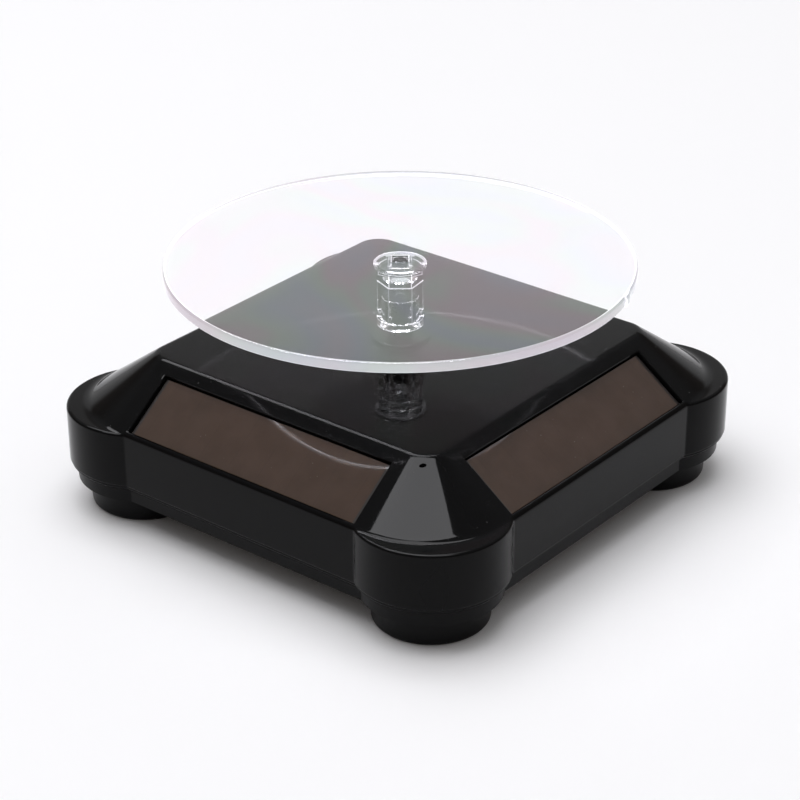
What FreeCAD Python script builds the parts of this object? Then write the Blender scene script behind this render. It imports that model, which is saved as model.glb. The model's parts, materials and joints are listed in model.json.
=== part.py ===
"""Solar and battery display turntable: a lobed square housing, a geared drive and a clear tray.

Millimetres, +Z up. The origin is on the table under the turning axis.
Left, right, front and back are -X, +X, -Y and +Y.
"""

import FreeCAD
import Part

import math
import os

from FreeCAD import Placement, Rotation, Vector

# ---- Driving dimensions ----
WALL_HALF = 50.0            # straight side walls stand at this distance from the axis
LOBE_AT = 36.7              # centre of each round corner, in X and in Y
LOBE_R = 15.3
SKIN = 2.0                  # wall thickness of the mouldings
FOOT_HEIGHT = 6.0
TRAY_INSET = 1.5            # the bottom cover's tray stands in from the walls
TRAY_WALL = 1.8
LIP_BOTTOM, LIP = 9.2, 0.9  # edge of the bottom cover that shows below the housing
LIP_INSET, LIP_BEVEL = 0.25, 0.45
WALL_TOP = 21.7
SLOPE = math.radians(35.63)
TOP_HALF = 35.7             # half the width of the flat top, to its sharp edge
TOP_CORNER_R = 4.4
TOP_ROUND = 2.0
BUSH_R, BUSH_FLANGE_R, BUSH_PROUD = 4.0, 5.9, 0.65

WINDOW_LENGTH = 57.2
WINDOW_WIDTH = 13.53
WINDOW_MID = 43.69          # distance of the window's middle from the axis
CELL_GAP = 0.2
CELL_THICK = 1.1
CELL_SUNK = 0.9             # depth of the cell's face below the sloping face
PAD_THICK = 1.4             # ledge below the cell

FOOT_TOP_R, FOOT_BOTTOM_R = 11.7, 11.3

MODULE = 0.5
PINION_TEETH, WHEEL_TEETH, OUTPUT_TEETH = 12, 48, 56
PINION_ADDENDUM, WHEEL_ADDENDUM = 0.5, 0.36
DEDENDUM = 0.625
TOOTH_THINNING = 0.08
PRESSURE = math.radians(20)
GEAR_AT = Vector(0, 17, 0)
MOTOR_AT = Vector(12, 26, 0)

SHAFT_R = 2.5
SHAFT_TOP = 40.3
RUN_GAP = 0.04              # radial gap of a shaft in its bearing

BATTERY_AT_Y, BATTERY_AT_Z = -23.5, 15.6
CELL_R, CELL_LENGTH = 7.1, 50.3
BAY_R, BAY_HALF_LENGTH, BAY_WALL = 7.6, 28.0, 1.2
DOOR_THICK = 1.2
DOOR_NOTCH = 0.72  # the door's two back corners stop this far in front of the hinge line
DOOR_HALF = Vector(27.5, 7.8, 0)
DOOR_R, DOOR_GAP = 4.0, 0.15

SWITCH_AT = Vector(-34, 10, 0)
SWITCH_TRAVEL = 3.0

DISC_R, DISC_THICK, DISC_TOP = 46.74, 2.0, 49.9
NUB_HEADING, NUB_LENGTH, NUB_OUT = 15.3, 4.0, 0.42  # break-off left by the gate on the disc's rim
PIN_HOLE_AT, PIN_HOLE_R = Vector(34.5, -36.4, 0), 0.68
POST_BOTTOM, POST_COLLAR, POST_FLANGE = 34.75, 1.55, 0.9
POST_CORNER_R, POST_FLANGE_R = 4.68, 5.3
BORE_TOP, BORE_TIP_R = 44.5, 2.3
TENON = 3.3

# ---- Worked out from them ----
RISE = math.tan(SLOPE)
TOP_Z = WALL_TOP + (WALL_HALF - TOP_HALF) * RISE
CORNER_AXIS = TOP_HALF - TOP_CORNER_R
HOUSING_BOTTOM = LIP_BOTTOM + LIP
FLOOR = FOOT_HEIGHT + SKIN
SIDES = (("front", 0), ("right", 90), ("back", 180), ("left", 270))
CORNERS = [(sx, sy) for sx in (1, -1) for sy in (1, -1)]
PILLARS = [Vector(18.5, -8.8, 0), Vector(-18.5, -8.8, 0), Vector(-12, 30, 0), Vector(25.5, 13, 0)]
Z = Vector(0, 0, 1)


# ---- Helpers ----
def at(x, y, z):
    return Vector(x, y, z)


def cyl(radius, low, high, x=0.0, y=0.0):
    return Part.makeCylinder(radius, high - low, at(x, y, low))


def ring(outer, inner, low, high, x=0.0, y=0.0):
    return cyl(outer, low, high, x, y).cut(cyl(inner, low - 1, high + 1, x, y))


def box(x0, x1, y0, y1, z0, z1):
    return Part.makeBox(x1 - x0, y1 - y0, z1 - z0, at(x0, y0, z0))


def fuse(*shapes):
    whole = shapes[0].multiFuse(list(shapes[1:])) if len(shapes) > 1 else shapes[0]
    return whole.removeSplitter()


def cut(shape, *tools):
    return shape.cut(list(tools)) if tools else shape


def arc(centre, radius, start, end, z):
    mid = (start + end) / 2
    ends = [at(centre[0] + radius * math.cos(a), centre[1] + radius * math.sin(a), z) for a in (start, mid, end)]
    return Part.Arc(*ends).toShape()


def corner_turns():
    """The four corners anticlockwise from the one at +X -Y, with the heading where each arc starts."""
    return [((1, -1), -math.pi / 2), ((1, 1), 0.0), ((-1, 1), math.pi / 2), ((-1, -1), math.pi)]


def closed_by_lines(arcs):
    edges = []
    for this, after in zip(arcs, arcs[1:] + arcs[:1]):
        edges.append(this)
        start, end = this.Vertexes[-1].Point, after.Vertexes[0].Point
        edges.append(Part.makeLine(start, end))
    return Part.Wire(edges)


def round_square(half_x, half_y, radius, z, x=0.0, y=0.0):
    arcs = [
        arc((x + sx * (half_x - radius), y + sy * (half_y - radius)), radius, a, a + math.pi / 2, z)
        for (sx, sy), a in corner_turns()
    ]
    return closed_by_lines(arcs)


def lobed_square(inset, z):
    """The housing's outline: straight walls between round corners that stand proud of them."""
    radius, half = LOBE_R - inset, WALL_HALF - inset
    past = math.acos((half - LOBE_AT) / radius)
    arcs = [
        arc((sx * LOBE_AT, sy * LOBE_AT), radius, a - past, a + math.pi / 2 + past, z)
        for (sx, sy), a in corner_turns()
    ]
    return closed_by_lines(arcs)


def prism(wire, height):
    return Part.Face(wire).extrude(Z * height)


def slab(half_x, half_y, radius, low, high, x=0.0, y=0.0):
    return prism(round_square(half_x, half_y, radius, low, x, y), high - low)


def roof(low_half, low_z, high_half, high_z):
    """A rounded square pyramid's stump, whose corners are cones about upright axes."""
    low = round_square(low_half, low_half, low_half - CORNER_AXIS, low_z)
    high = round_square(high_half, high_half, high_half - CORNER_AXIS, high_z)
    return Part.makeLoft([low, high], True, True)


def on_slope(shape, turn):
    """Moves a shape from the window's own frame, X along the wall and Z out of the slope, to one side."""
    shape = shape.copy()
    mid = at(0, -WINDOW_MID, WALL_TOP + (WALL_HALF - WINDOW_MID) * RISE)
    shape.Placement = Placement(mid, Rotation(Vector(1, 0, 0), math.degrees(SLOPE)))
    shape.rotate(Vector(0, 0, 0), Z, turn)
    return shape


def slope_box(length, width, deep, shallow):
    return box(-length / 2, length / 2, -width / 2, width / 2, -deep, -shallow)


def gear(teeth, addendum, centre, phase, low, high):
    """A spur gear blank with involute flanks, made of short flats."""
    pitch = MODULE * teeth / 2
    base, tip, root = pitch * math.cos(PRESSURE), pitch + addendum, pitch - DEDENDUM
    half_tooth = (math.pi * MODULE / 2 - TOOTH_THINNING) / 2 / pitch

    def involute(r):
        a = math.acos(min(1.0, base / r))
        return math.tan(a) - a

    def half_angle(r):
        return half_tooth + involute(pitch) - involute(max(r, base))

    start = max(root, base)
    radii = [start + (tip - start) * k / 3 for k in range(4)]
    if root < base:
        radii = [root] + radii
    points = []
    for k in range(teeth):
        middle = phase + 2 * math.pi * k / teeth
        flank = [(r, middle - half_angle(r)) for r in radii] + [(r, middle + half_angle(r)) for r in reversed(radii)]
        points += [at(centre.x + r * math.cos(a), centre.y + r * math.sin(a), low) for r, a in flank]
    return prism(Part.makePolygon(points + points[:1]), high - low)


def meshing_phase(centre, other, teeth, other_teeth, other_phase):
    """The phase that puts a tooth space of this gear where the other gear's tooth points at it."""
    towards = math.atan2(centre.y - other.y, centre.x - other.x)
    ahead = (other_phase - towards) * other_teeth / teeth
    return towards + math.pi + math.pi / teeth - ahead


# ---- Housing ----
def outer_housing():
    walls = prism(lobed_square(0, HOUSING_BOTTOM), WALL_TOP - HOUSING_BOTTOM)
    stump = roof(WALL_HALF, WALL_TOP, TOP_HALF, TOP_Z)
    rim = [e for e in stump.Edges if all(abs(v.Z - TOP_Z) < 0.01 for v in e.Vertexes)]
    return walls, stump.makeFillet(TOP_ROUND, rim)


def inner_housing():
    drop = SKIN / math.cos(SLOPE)
    top = TOP_Z - SKIN
    top_half = WALL_HALF - (top - (WALL_TOP - drop)) / RISE
    tall = prism(lobed_square(SKIN, HOUSING_BOTTOM - 1), top - HOUSING_BOTTOM + 2)
    low = prism(lobed_square(SKIN, HOUSING_BOTTOM - 1), WALL_TOP - SKIN - HOUSING_BOTTOM + 1)
    return low, roof(WALL_HALF, WALL_TOP - drop, top_half, top).common(tall)


def upper_housing():
    walls, stump = outer_housing()
    whole = fuse(walls, stump)
    shell = cut(whole, *inner_housing())
    pad_size = (WINDOW_LENGTH + 3.0, WINDOW_WIDTH + 0.6)
    cell_depth = CELL_SUNK + CELL_THICK
    pads, recesses = [], []
    for _, turn in SIDES:
        pads.append(on_slope(slope_box(*pad_size, cell_depth + PAD_THICK, CELL_SUNK), turn).common(whole))
        recesses.append(on_slope(slope_box(WINDOW_LENGTH, WINDOW_WIDTH, cell_depth, -1), turn))
        recesses.append(on_slope(slope_box(WINDOW_LENGTH - 6, WINDOW_WIDTH - 5.5, 6, 0), turn))
    posts = [cyl(3.6, FLOOR + 0.1, 29, sx * LOBE_AT, sy * LOBE_AT).common(whole) for sx, sy in CORNERS]
    pilots = [cyl(1.3, FLOOR - 1, 19.5, sx * LOBE_AT, sy * LOBE_AT) for sx, sy in CORNERS]
    pin_hole = cyl(PIN_HOLE_R, TOP_Z - 6, TOP_Z + 1, PIN_HOLE_AT.x, PIN_HOLE_AT.y)
    shell = fuse(shell, *pads, *posts)
    return cut(shell, *recesses, *pilots, pin_hole, cyl(BUSH_R, TOP_Z - 5, TOP_Z + 5))


def bay_block(radius, half_length, low):
    """A battery's space: half round above, straight down to the opening."""
    round_part = Part.makeCylinder(
        radius, 2 * half_length, at(-half_length, BATTERY_AT_Y, BATTERY_AT_Z), Vector(1, 0, 0)
    )
    straight = box(-half_length, half_length, BATTERY_AT_Y - radius, BATTERY_AT_Y + radius, low, BATTERY_AT_Z)
    above = box(-half_length, half_length, BATTERY_AT_Y - radius, BATTERY_AT_Y + radius, low, 40)
    return fuse(round_part.common(above), straight)


def lip():
    """The edge under the housing's walls, with a bevel below."""
    low, high = lobed_square(LIP_INSET + LIP_BEVEL, LIP_BOTTOM), lobed_square(LIP_INSET, LIP_BOTTOM + LIP_BEVEL)
    bevel = Part.makeLoft([low, high], True, True)
    upper = prism(lobed_square(LIP_INSET, LIP_BOTTOM + LIP_BEVEL), LIP - LIP_BEVEL)
    return fuse(bevel, upper)


def bottom_cover():
    inner = TRAY_INSET + TRAY_WALL
    tray = prism(lobed_square(TRAY_INSET, FOOT_HEIGHT), LIP_BOTTOM - FOOT_HEIGHT)
    rim = prism(lobed_square(SKIN + 0.1, HOUSING_BOTTOM), 1.6)
    hollow = prism(lobed_square(inner, FLOOR), 9)
    dish = cut(fuse(tray, lip(), rim), hollow)
    bay = bay_block(BAY_R + BAY_WALL, BAY_HALF_LENGTH + BAY_WALL, FLOOR - 0.5)
    standoffs = [cyl(2.6, FLOOR - 0.5, 16.8, p.x, p.y) for p in PILLARS]
    board_posts = [cyl(2, FLOOR - 0.5, BOARD_Z, x, y) for x, y in BOARD_SCREWS]
    whole = fuse(dish, bay, *standoffs, *board_posts)
    half, gap = DOOR_HALF, DOOR_GAP
    door_top = FOOT_HEIGHT + DOOR_THICK
    tools = [
        slab(half.x + gap, half.y + gap, DOOR_R + gap, FOOT_HEIGHT - 1, door_top, 0, BATTERY_AT_Y),
        slab(half.x - 0.5, half.y - 0.5, DOOR_R - 0.5, FOOT_HEIGHT, FLOOR + 0.1, 0, BATTERY_AT_Y),
        bay_block(BAY_R, BAY_HALF_LENGTH, FLOOR),
        slab(4.6, 1.5, 1.4, FOOT_HEIGHT - 1, FLOOR + 1, SWITCH_AT.x, SWITCH_AT.y),
        slab(6.4, 3.2, 1.5, FOOT_HEIGHT - 1, FOOT_HEIGHT + 0.5, SWITCH_AT.x, SWITCH_AT.y),
    ]
    tools += [cyl(1.0, FOOT_HEIGHT + 1, 17, p.x, p.y) for p in PILLARS]
    tools += [cyl(0.8, FLOOR, BOARD_Z + 1, x, y) for x, y in BOARD_SCREWS]
    for sx, sy in CORNERS:
        tools.append(cyl(1.6, FOOT_HEIGHT - 1, FLOOR + 3, sx * LOBE_AT, sy * LOBE_AT))
    return cut(whole, *tools)


BOARD_Z, BOARD_THICK = 12.2, 1.2
BOARD_SCREWS = [(-41.5, 14.5), (-26.5, 5.5)]


SCREW_SEAT = 3.4


def foot(sx, sy):
    x, y = sx * LOBE_AT, sy * LOBE_AT
    body = Part.makeCone(FOOT_BOTTOM_R, FOOT_TOP_R, FOOT_HEIGHT, at(x, y, 0))
    sole = [e for e in body.Edges if e.BoundBox.ZMax < 0.01]
    body = body.makeFillet(0.9, sole)
    groove = ring(9.3, 5.6, -1, 3.6, x, y)
    return cut(body, groove, cyl(3.5, -1, SCREW_SEAT, x, y), cyl(1.6, 2, 10, x, y))


def case_screws():
    screws = []
    for sx, sy in CORNERS:
        x, y = sx * LOBE_AT, sy * LOBE_AT
        head = cyl(2.8, SCREW_SEAT - 1.8, SCREW_SEAT, x, y)
        low, high = SCREW_SEAT - 2, SCREW_SEAT - 0.8
        slots = [box(x - a, x + a, y - b, y + b, low, high) for a, b in ((1.6, 0.3), (0.3, 1.6))]
        screws.append(cut(fuse(head, cyl(1.3, SCREW_SEAT, 16.5, x, y)), *slots))
    return Part.Compound(screws)


def solar_cell(turn):
    size = (WINDOW_LENGTH - 2 * CELL_GAP, WINDOW_WIDTH - 2 * CELL_GAP)
    return on_slope(slope_box(*size, CELL_SUNK + CELL_THICK, CELL_SUNK), turn)


def cell_leads():
    """The two solder tails behind each cell, in the opening of its ledge."""
    depth = CELL_SUNK + CELL_THICK
    tails = []
    for _, turn in SIDES:
        for x in (-20.0, 20.0):
            pad = box(x - 1.6, x + 1.6, -1.2, 1.2, -depth - 0.3, -depth)
            pin = box(x - 0.3, x + 0.3, -0.3, 0.3, -depth - 2.5, -depth - 0.3)
            tails.append(on_slope(fuse(pad, pin), turn))
    return Part.Compound(tails)


# ---- Drive ----
def gearbox_base():
    plate = prism(round_square(25, 24.7, 5, 16.8, 3.5, 13.2), 1.5)
    pillars = [cyl(2.6, 18, 26.8, p.x, p.y) for p in PILLARS]
    boss = cyl(5, 14.8, 17)
    collar = cyl(12, 15.3, 17, MOTOR_AT.x, MOTOR_AT.y)
    whole = fuse(plate, boss, collar, *pillars)
    tools = [cyl(3, 14, 19), cyl(1.0, 16, 19, GEAR_AT.x, GEAR_AT.y)]
    tools.append(cyl(10.55, 10, 19, MOTOR_AT.x, MOTOR_AT.y))
    tools += [cyl(1.0, 10, 30, p.x, p.y) for p in PILLARS]
    return cut(whole, *tools)


def gearbox_cover():
    plate = prism(round_square(25, 22.3, 5, 26.8, 3.5, 10.8), 1.1)
    tools = [cyl(4.6, 26, 29), cyl(1.0, 26, 28, GEAR_AT.x, GEAR_AT.y)]
    tools += [cyl(1.1, 26, 29, p.x, p.y) for p in PILLARS]
    return cut(plate, *tools)


def gearbox_screws():
    return Part.Compound([fuse(cyl(1.9, 27.9, 29.1, p.x, p.y), cyl(1.0, 13, 27.9, p.x, p.y)) for p in PILLARS])


def drive_shaft():
    """A stepped shaft, with a bevelled tip for the tray to go on."""
    tip = Part.makeCone(SHAFT_R, SHAFT_R - 0.3, 0.3, at(0, 0, SHAFT_TOP - 0.3))
    return fuse(cyl(1.5, 15, 18.65), cyl(SHAFT_R, 18.65, SHAFT_TOP - 0.3), tip)


def top_bush():
    """The flanged bearing pressed into the roof."""
    flange = cyl(BUSH_FLANGE_R, TOP_Z, TOP_Z + BUSH_PROUD)
    edge = [e for e in flange.Edges if e.BoundBox.ZMin > TOP_Z + BUSH_PROUD - 0.01]
    body = fuse(flange.makeFillet(0.3, edge), cyl(BUSH_R, 28.6, TOP_Z))
    return cut(body, cyl(SHAFT_R + RUN_GAP, 28, 34))


def output_gear():
    blank = gear(OUTPUT_TEETH, WHEEL_ADDENDUM, Vector(0, 0, 0), OUTPUT_PHASE, 20.4, 22.8)
    relief = ring(11.6, 5.6, 22.1, 24).fuse(ring(11.6, 5.6, 19, 21.1))
    hub = cyl(4.5, 18.9, 20.6)
    return cut(fuse(cut(blank, relief), hub), cyl(SHAFT_R, 18, 24))


OUTPUT_PHASE = 0.0
PINION_PHASE = meshing_phase(GEAR_AT, Vector(0, 0, 0), PINION_TEETH, OUTPUT_TEETH, OUTPUT_PHASE)
WHEEL_PHASE = 0.0
MOTOR_PHASE = meshing_phase(MOTOR_AT, GEAR_AT, PINION_TEETH, WHEEL_TEETH, WHEEL_PHASE)


def reduction_gear():
    pinion = gear(PINION_TEETH, PINION_ADDENDUM, GEAR_AT, PINION_PHASE, 19.9, 24.3)
    wheel = gear(WHEEL_TEETH, WHEEL_ADDENDUM, GEAR_AT, WHEEL_PHASE, 24.2, 26.0)
    spokes = [cyl(1.7, 24, 27, GEAR_AT.x + 7.4 * math.cos(a), GEAR_AT.y + 7.4 * math.sin(a))
              for a in (k * math.pi / 3 for k in range(6))]
    return cut(fuse(pinion, wheel), cyl(1.0 + RUN_GAP, 19, 27, GEAR_AT.x, GEAR_AT.y), *spokes)


def motor_pinion():
    blank = gear(PINION_TEETH, PINION_ADDENDUM, MOTOR_AT, MOTOR_PHASE, 24.1, 26.4)
    return cut(blank, cyl(1.0, 24, 27, MOTOR_AT.x, MOTOR_AT.y))


def motor_can():
    x, y = MOTOR_AT.x, MOTOR_AT.y
    can = cyl(10.5, 12.2, 23.7, x, y).cut(cyl(9.8, 12, 22.9, x, y))
    return cut(fuse(can, cyl(3, 23.6, 24.0, x, y)), cyl(1.0 + RUN_GAP, 22, 25, x, y))


def motor_end_cap():
    x, y = MOTOR_AT.x, MOTOR_AT.y
    cap = fuse(cyl(9.8, 12.2, 13.8, x, y), cyl(3, 11.4, 12.4, x, y))
    return cut(cap, cyl(1.0 + RUN_GAP, 11.8, 14, x, y))


def motor_armature():
    x, y = MOTOR_AT.x, MOTOR_AT.y
    core = cyl(6.8, 15.6, 20.6, x, y)
    slots = []
    for k in range(3):
        slot = fuse(box(2.6, 5.6, -2.4, 2.4, 15, 21), box(5, 8, -0.5, 0.5, 15, 21))
        slot.rotate(Vector(0, 0, 0), Z, 120 * k)
        slot.translate(Vector(x, y, 0))
        slots.append(slot)
    commutator = cyl(2, 14.2, 15.7, x, y)
    return cut(fuse(cut(core, *slots), commutator), cyl(1.0, 14, 21, x, y))


# ---- Power ----
def battery_door():
    """The cover of the bay. It turns about its rounded back edge."""
    top = FOOT_HEIGHT + DOOR_THICK - 0.05
    plate = slab(DOOR_HALF.x, DOOR_HALF.y, DOOR_R, FOOT_HEIGHT, top, 0, BATTERY_AT_Y)
    back = BATTERY_AT_Y + DOOR_HALF.y
    half = (top - FOOT_HEIGHT) / 2
    run = DOOR_HALF.x - DOOR_R
    roll = Part.makeCylinder(half, 2 * run, at(-run, back - half, FOOT_HEIGHT + half), Vector(1, 0, 0))
    plate = cut(plate, box(-30, 30, back - half, back + 1, 5, 8))
    for left, right in ((-30, -run), (run, 30)):
        plate = cut(plate, box(left, right, back - half - DOOR_NOTCH, back + 1, 5, 8))
    plate = plate.fuse(roll)
    ribs = [box(x - 0.5, x + 0.5, BATTERY_AT_Y - 6.5, BATTERY_AT_Y + 6, top - 0.1, top + 0.9) for x in (-12, 0, 12)]
    low = BATTERY_AT_Y - DOOR_HALF.y
    thumb = [box(-6, 6, low + 1.5 * k, low + 1.5 * k + 0.6, 5, FOOT_HEIGHT + 0.4) for k in (1, 2, 3)]
    return cut(fuse(plate, *ribs), *thumb)


def battery_plate():
    """The positive contact: a thin plate with a pressed button."""
    y, z = BATTERY_AT_Y, BATTERY_AT_Z
    plate = box(BAY_HALF_LENGTH - 0.4, BAY_HALF_LENGTH, y - 4.5, y + 4.5, z - 5, z + 4)
    button = Part.makeCone(2.4, 1.6, 0.6, at(BAY_HALF_LENGTH - 0.4, y, z), Vector(-1, 0, 0))
    return fuse(plate, button)


def battery_cell():
    """A cell of the common small size, with its raised end towards +X."""
    y, z = BATTERY_AT_Y, BATTERY_AT_Z
    end = BAY_HALF_LENGTH - 1.0
    can = Part.makeCylinder(CELL_R, CELL_LENGTH - 1, at(end - CELL_LENGTH, y, z), Vector(1, 0, 0))
    rims = [e for e in can.Edges if abs(e.BoundBox.XMax - e.BoundBox.XMin) < 0.01]
    nub = Part.makeCylinder(2.7, 1.1, at(end - 1.1, y, z), Vector(1, 0, 0))
    return fuse(can.makeFillet(0.5, rims), nub)


def battery_spring():
    """The negative contact: a plate and the turns of a conical coil, each one a ring."""
    y, z = BATTERY_AT_Y, BATTERY_AT_Z
    plate = box(-BAY_HALF_LENGTH, 0.4 - BAY_HALF_LENGTH, y - 4.5, y + 4.5, z - 5, z + 4)
    turns = []
    for k in range(4):
        centre = at(0.68 + 0.9 * k - BAY_HALF_LENGTH, y, z)
        turns.append(Part.makeTorus(4.2 - 0.35 * k, 0.25, centre, Vector(1, 0, 0)))
    return Part.Compound([plate] + turns)


def switch_body():
    x, y = SWITCH_AT.x, SWITCH_AT.y
    shell = box(x - 4.6, x + 4.6, y - 2.4, y + 2.4, FLOOR, BOARD_Z)
    return cut(shell, box(x - 3.4, x + 3.4, y - 1.4, y + 1.4, FLOOR - 1, BOARD_Z - 0.8))


def switch_knob():
    x, y = SWITCH_AT.x - SWITCH_TRAVEL / 2, SWITCH_AT.y
    stem = box(x - 1.3, x + 1.3, y - 1.2, y + 1.2, FOOT_HEIGHT - 0.4, FLOOR + 0.5)
    head = box(x - 1.7, x + 1.7, y - 1.2, y + 1.2, FLOOR + 0.3, BOARD_Z - 1)
    ridges = [box(x + k * 0.8 - 0.15, x + k * 0.8 + 0.15, y - 1.3, y + 1.3, 5, FOOT_HEIGHT - 0.1) for k in (-1, 0, 1)]
    return cut(fuse(stem, head), *ridges)


def circuit_board():
    board = box(-44, -24, 3, 17, BOARD_Z, BOARD_Z + BOARD_THICK)
    return cut(board, *[cyl(0.8, BOARD_Z - 1, BOARD_Z + 3, x, y) for x, y in BOARD_SCREWS])


def board_screws():
    top = BOARD_Z + BOARD_THICK
    return Part.Compound([fuse(cyl(1.6, top, top + 1, x, y), cyl(0.8, 9, top, x, y)) for x, y in BOARD_SCREWS])


def board_components():
    """A blocking diode and a buffer capacitor."""
    top = BOARD_Z + BOARD_THICK
    diode = Part.makeCylinder(1.2, 4.6, at(-34, 5.6, top + 1.2), Vector(1, 0, 0))
    capacitor = cyl(2.5, top, top + 5.4, -29, 12.5)
    return Part.Compound([diode, capacitor])


# ---- Tray ----
def hexagon(corner_radius, low, high):
    """A six-sided prism with one flat square on to the front right corner."""
    turn = math.radians(FACING + 30)
    points = [at(corner_radius * math.cos(turn + k * math.pi / 3), corner_radius * math.sin(turn + k * math.pi / 3), low)
              for k in range(6)]
    return prism(Part.makePolygon(points + points[:1]), high - low)


FACING = -51.0    # heading of one flat of the post and of its square tenon


def square_rod(half, low, high):
    rod = box(-half, half, -half, half, low, high)
    rod.rotate(Vector(0, 0, 0), Z, FACING)
    return rod


def display_post():
    """A hexagonal post with a round foot and head, a stepped blind socket and a square tenon."""
    underside = DISC_TOP - DISC_THICK
    collar = cyl(POST_CORNER_R, POST_BOTTOM, POST_BOTTOM + POST_COLLAR)
    body = hexagon(POST_CORNER_R, POST_BOTTOM + POST_COLLAR, underside - POST_FLANGE)
    flange = cyl(POST_FLANGE_R, underside - POST_FLANGE, underside)
    tenon = square_rod(TENON / 2 - 0.03, underside - 0.2, DISC_TOP)
    whole = fuse(collar, body, flange, tenon)
    return cut(whole, cyl(SHAFT_R + RUN_GAP, POST_BOTTOM - 1, SHAFT_TOP), cyl(BORE_TIP_R, SHAFT_TOP - 1, BORE_TOP))


def display_disc():
    disc = cyl(DISC_R, DISC_TOP - DISC_THICK, DISC_TOP)
    rims = [e for e in disc.Edges if abs(e.BoundBox.ZMax - e.BoundBox.ZMin) < 0.01]
    nub_low = DISC_TOP - DISC_THICK + 0.35
    corners = ((-1, 0), (NUB_OUT, 0), (NUB_OUT - 0.06, NUB_LENGTH / 2.5), (-0.08, NUB_LENGTH), (-1, NUB_LENGTH))
    outline = [Vector(DISC_R + out, along, nub_low) for out, along in corners]
    nub = Part.Face(Part.makePolygon(outline + outline[:1])).extrude(Vector(0, 0, DISC_THICK - 0.7))
    nub.rotate(Vector(0, 0, 0), Z, NUB_HEADING)
    whole = fuse(disc.makeChamfer(0.25, rims), nub)
    return cut(whole, square_rod(TENON / 2, 40, 60))


# ---- Write every piece ----
def pieces():
    named = {
        "upper_housing": upper_housing(),
        "bottom_cover": bottom_cover(),
        "case_screws": case_screws(),
        "cell_leads": cell_leads(),
        "gearbox_base": gearbox_base(),
        "gearbox_cover": gearbox_cover(),
        "gearbox_screws": gearbox_screws(),
        "top_bush": top_bush(),
        "retaining_ring": ring(3.6, SHAFT_R, 27.9, 28.5),
        "lower_bush": ring(3, 1.5 + RUN_GAP, 14.8, 18.3),
        "thrust_washer": ring(3.6, 1.5 + RUN_GAP, 18.3, 18.6),
        "gear_axle": cyl(1.0, 16.8, 27.9, GEAR_AT.x, GEAR_AT.y),
        "motor_can": motor_can(),
        "motor_end_cap": motor_end_cap(),
        "motor_magnet": ring(9.8, 7.3, 15, 21.2, MOTOR_AT.x, MOTOR_AT.y),
        "motor_armature": motor_armature(),
        "motor_shaft": cyl(1.0, 11.9, 26.6, MOTOR_AT.x, MOTOR_AT.y),
        "motor_pinion": motor_pinion(),
        "reduction_gear": reduction_gear(),
        "output_gear": output_gear(),
        "drive_shaft": drive_shaft(),
        "battery_door": battery_door(),
        "battery_cell": battery_cell(),
        "battery_plate": battery_plate(),
        "battery_spring": battery_spring(),
        "switch_body": switch_body(),
        "switch_knob": switch_knob(),
        "circuit_board": circuit_board(),
        "board_screws": board_screws(),
        "board_components": board_components(),
        "display_post": display_post(),
        "display_disc": display_disc(),
    }
    for name, turn in SIDES:
        named["solar_cell_" + name] = solar_cell(turn)
    for (sx, sy), name in zip(CORNERS, ("back_right", "front_right", "back_left", "front_left")):
        named["foot_" + name] = foot(sx, sy)
    return named


os.makedirs("parts", exist_ok=True)
for node, shape in pieces().items():
    solids = shape.Solids
    if not shape.isValid() or not solids:
        raise ValueError(node + " isn't a valid solid")
    print(f"{node}: {len(solids)} solids, {sum(s.Volume for s in solids):.1f} mm3")
    shape.exportStep(f"parts/{node}.step")
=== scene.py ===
"""A display turntable: its outside, its clear tray and its finishes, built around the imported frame.

Lengths in the classes are millimetres and become metres where a mesh is made. +Z is up, the front is -Y.
"""

import json
import logging
import math
from collections.abc import Callable, Sequence
from dataclasses import dataclass, field, replace
from enum import Enum

import bpy
import numpy as np
from mathutils import Matrix, Vector


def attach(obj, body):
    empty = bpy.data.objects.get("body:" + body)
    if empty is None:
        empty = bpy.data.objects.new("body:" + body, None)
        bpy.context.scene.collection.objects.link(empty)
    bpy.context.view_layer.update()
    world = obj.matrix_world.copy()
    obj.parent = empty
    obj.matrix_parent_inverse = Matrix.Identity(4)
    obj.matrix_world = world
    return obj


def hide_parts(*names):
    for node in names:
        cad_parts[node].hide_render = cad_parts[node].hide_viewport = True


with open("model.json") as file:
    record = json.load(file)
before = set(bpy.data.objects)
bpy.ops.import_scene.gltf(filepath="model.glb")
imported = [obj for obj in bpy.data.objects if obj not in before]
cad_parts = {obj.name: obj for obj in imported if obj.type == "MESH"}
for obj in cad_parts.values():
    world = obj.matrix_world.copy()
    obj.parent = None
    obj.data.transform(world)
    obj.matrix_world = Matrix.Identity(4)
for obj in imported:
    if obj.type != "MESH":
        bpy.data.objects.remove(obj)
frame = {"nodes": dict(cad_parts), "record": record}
LOG = logging.getLogger("turntable")
MM = 0.001
Point = tuple[float, float, float]
Colour = tuple[float, float, float, float]
RadiusAt = Callable[[np.ndarray], np.ndarray]
QUARTER = math.pi / 2
ORIGIN: Point = (0.0, 0.0, 0.0)
VECTOR, FLOAT = "NodeSocketVector", "NodeSocketFloat"


class Side(Enum):
    """The four walls, each with its turn about the axis from the front one, in quarter turns."""

    FRONT = 0
    RIGHT = 1
    BACK = 2
    LEFT = 3


class Grain(Enum):
    """How a surface is broken up below what a mould or a tool shows as shape."""

    POLISHED = "polished"
    SATIN = "satin"
    BRUSHED = "brushed"


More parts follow.
